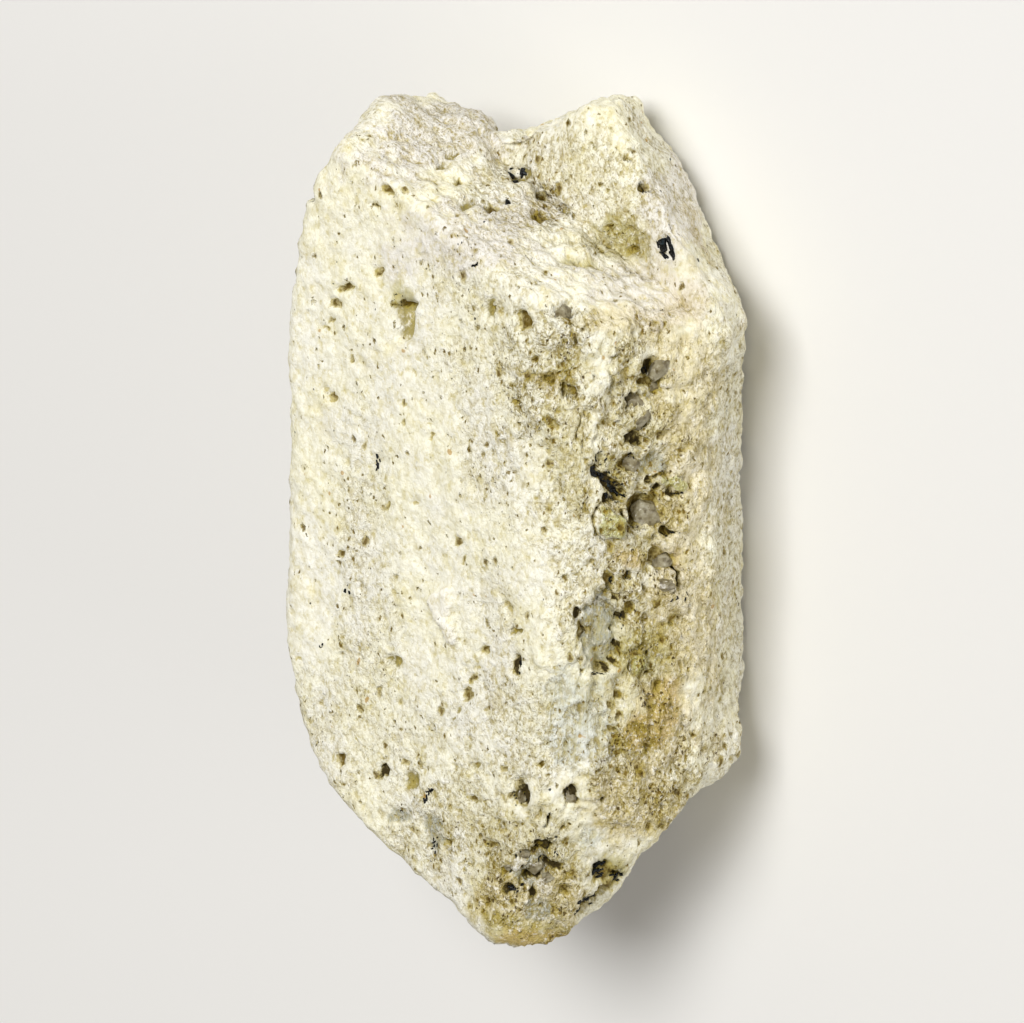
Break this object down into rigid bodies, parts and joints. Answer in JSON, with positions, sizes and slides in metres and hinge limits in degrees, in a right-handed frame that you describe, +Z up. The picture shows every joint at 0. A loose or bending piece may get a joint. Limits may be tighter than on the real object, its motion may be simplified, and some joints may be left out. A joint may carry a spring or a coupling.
{
  "type": "kaolinite specimen",
  "caption": "Blocky twinned feldspar crystal turned to cream kaolinite, with a notch at one end, a broken point at the other and a worn, pitted surface.",
  "frame": {"origin": "middle of the specimen's base, where it lies on the surface", "axes": "+Y along the crystals towards the notched end, +Z up out of the broad face, +X towards the side face with the large quartz pits"},
  "size_m": [0.0306, 0.0552, 0.0194],
  "materials": {
    "kaolinite": "matte, chalky, finely pitted",
    "quartz": "glassy grey grains in the pits",
    "tourmaline": "blue-black, glossy needles"
  },
  "bodies": {
    "root": {"kaolinite_crystal": "kaolinite"}
  },
  "joints": []
}
